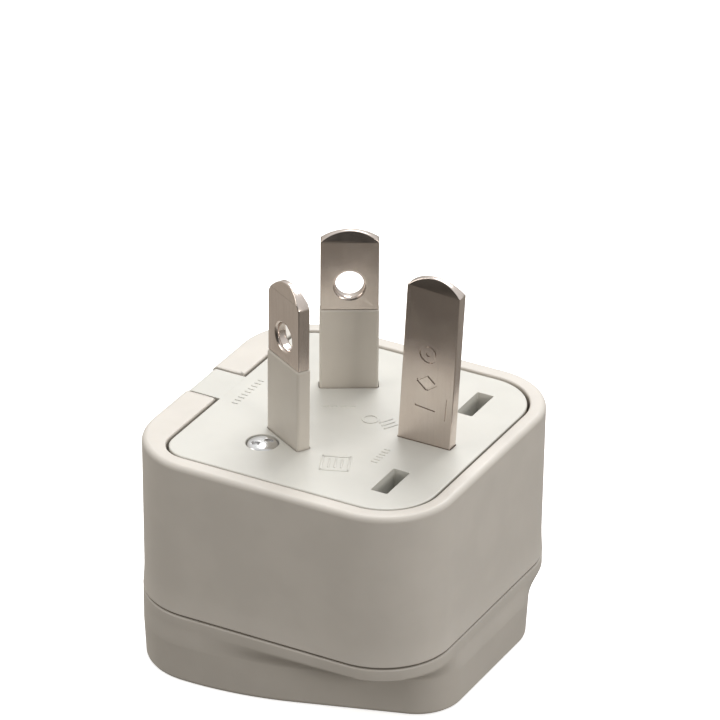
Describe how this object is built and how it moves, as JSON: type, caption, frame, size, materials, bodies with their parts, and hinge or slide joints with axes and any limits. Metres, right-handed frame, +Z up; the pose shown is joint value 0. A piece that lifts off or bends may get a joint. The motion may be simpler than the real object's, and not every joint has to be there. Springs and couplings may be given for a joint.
{
  "type": "travel adapter",
  "caption": "Earthed travel adapter: rounded beige block with flat nickel pins on top and a universal socket face underneath.",
  "frame": {"origin": "Centre of the bounding box in plan, at the height of the socket face that the adapter stands on.", "axes": "Z up through the pins, away from the socket face. X towards the earth pin. Y towards the line pin."},
  "size_m": [0.0384, 0.0384, 0.0486],
  "materials": {
    "housing_plastic": "fine moulded grain",
    "plate_plastic": "fine moulded grain",
    "sleeve_plastic": "smooth moulded",
    "nickel_plate": "nickel plated, satin",
    "white_plastic": "moulded",
    "spring_brass": "rolled strip",
    "zinc_steel": "zinc plated"
  },
  "bodies": {
    "adapter": {"outer_shell": "housing_plastic", "socket_base": "housing_plastic", "plug_plate": "plate_plastic", "line_pin_sleeve": "sleeve_plastic", "neutral_pin_sleeve": "sleeve_plastic", "earth_pin": "nickel_plate", "line_pin": "nickel_plate", "neutral_pin": "nickel_plate", "contact_carrier": "white_plastic", "shutter_cover": "white_plastic", "earth_contact": "spring_brass", "line_contact": "spring_brass", "neutral_contact": "spring_brass", "earth_strip": "spring_brass", "line_strip": "spring_brass", "neutral_strip": "spring_brass", "earth_rivet": "spring_brass", "line_rivet": "spring_brass", "neutral_rivet": "spring_brass", "plate_screw_line": "zinc_steel", "plate_screw_neutral": "zinc_steel", "shutter_spring_line": "zinc_steel", "shutter_spring_neutral": "zinc_steel"},
    "shutter": {"safety_shutter": "white_plastic"}
  },
  "joints": [
    {"name": "shutter_slide", "type": "slide", "parent": "adapter", "child": "shutter", "axis": [1, 0, 0], "range_m": [0, 0.0071], "stiffness_N_per_m": 60, "springref_m": -0.003, "deforming": ["shutter_spring_line", "shutter_spring_neutral"]}
  ]
}
